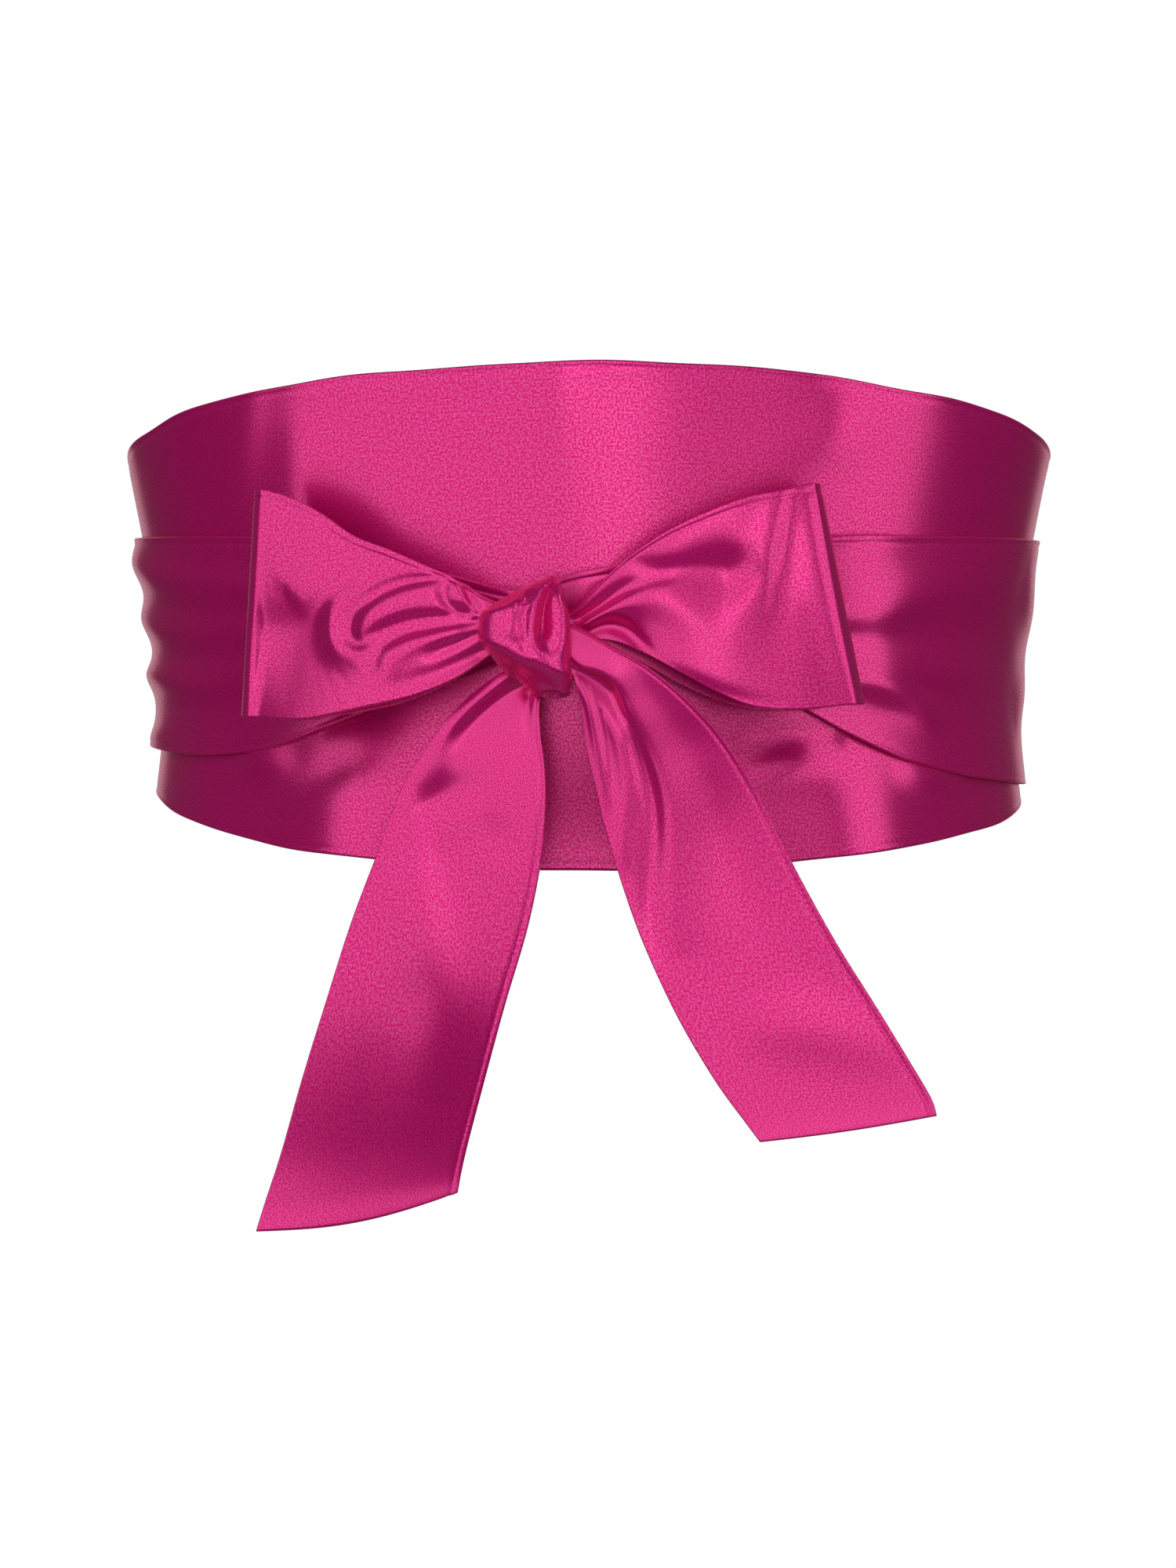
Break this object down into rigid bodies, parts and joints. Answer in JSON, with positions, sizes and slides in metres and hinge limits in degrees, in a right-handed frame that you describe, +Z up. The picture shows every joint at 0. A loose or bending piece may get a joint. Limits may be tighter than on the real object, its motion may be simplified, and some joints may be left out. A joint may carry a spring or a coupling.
{
  "type": "satin sash belt",
  "caption": "Wide satin obi sash as worn: a shaped front panel with ties that cross behind, come back over it and are tied in a bow at the front.",
  "frame": {"origin": "on the axis of the worn waist, at the height where the bow is tied", "axes": "+Z up, -Y is the front with the bow, +X to the right of someone who looks at the bow"},
  "size_m": [0.2694, 0.2174, 0.2435],
  "materials": {
    "satin": "satin weave, magenta, soft sheen"
  },
  "bodies": {
    "root": {"front_panel": "satin", "tie_wrap_right": "satin", "tie_wrap_left": "satin", "bow_loop_left": "satin", "bow_loop_right": "satin", "bow_knot": "satin", "tail_left": "satin", "tail_right": "satin"}
  },
  "joints": []
}
